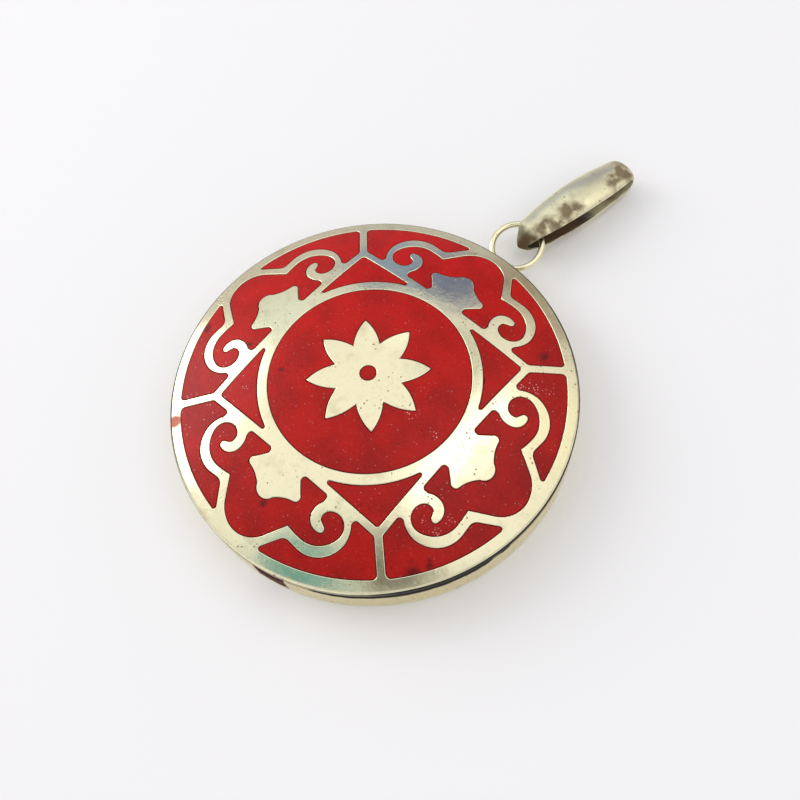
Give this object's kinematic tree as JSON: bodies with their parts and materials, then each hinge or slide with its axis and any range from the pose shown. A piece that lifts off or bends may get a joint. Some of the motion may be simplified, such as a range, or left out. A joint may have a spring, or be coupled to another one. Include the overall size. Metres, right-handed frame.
{
  "type": "amulet box pendant",
  "caption": "Round domed amulet box pendant: pierced white-metal lid inlaid with red coral, plain side band, flat back, hanging ring and swinging bail.",
  "frame": {"origin": "centre of the flat back face, which the box rests on", "axes": "+Z out of the domed face, +Y towards the hanging ring and bail"},
  "size_m": [0.05, 0.0745, 0.0106],
  "materials": {
    "lid_metal": "polished white metal, worn, with pits and brown tarnish",
    "band_metal": "polished white metal with a warm, brassy tint",
    "coral_inlay": "crushed coral in resin, ground flush and polished",
    "prayer_paper": "handmade paper, folded",
    "tie_thread": "twisted cotton thread"
  },
  "bodies": {
    "box": {"back_plate": "band_metal", "side_band": "band_metal", "notch_inlay": "coral_inlay", "hanger_ring": "band_metal", "prayer_packet": "prayer_paper", "packet_thread": "tie_thread"},
    "lid": {"lid_base": "lid_metal", "lid_collar": "lid_metal", "fret_face": "lid_metal", "centre_lotus": "lid_metal", "inlay_roundel": "coral_inlay", "inlay_corner_1": "coral_inlay", "inlay_corner_2": "coral_inlay", "inlay_corner_3": "coral_inlay", "inlay_corner_4": "coral_inlay", "inlay_lobe_1": "coral_inlay", "inlay_lobe_2": "coral_inlay", "inlay_lobe_3": "coral_inlay", "inlay_lobe_4": "coral_inlay", "inlay_border_1": "coral_inlay", "inlay_border_2": "coral_inlay", "inlay_border_3": "coral_inlay", "inlay_border_4": "coral_inlay", "inlay_border_5": "coral_inlay", "inlay_border_6": "coral_inlay", "inlay_border_7": "coral_inlay", "inlay_border_8": "coral_inlay"},
    "bail": {"bail": "band_metal"}
  },
  "joints": [
    {"name": "lid_lift", "type": "slide", "parent": "box", "child": "lid", "axis": [0, 0, 1], "range_m": [0, 0.012]},
    {"name": "bail_swing", "type": "hinge", "parent": "box", "child": "bail", "pos_m": [0.00071, 0.03262, 0.00339], "axis": [0.977, -0.213, 0], "range_deg": [-14, 42]}
  ]
}
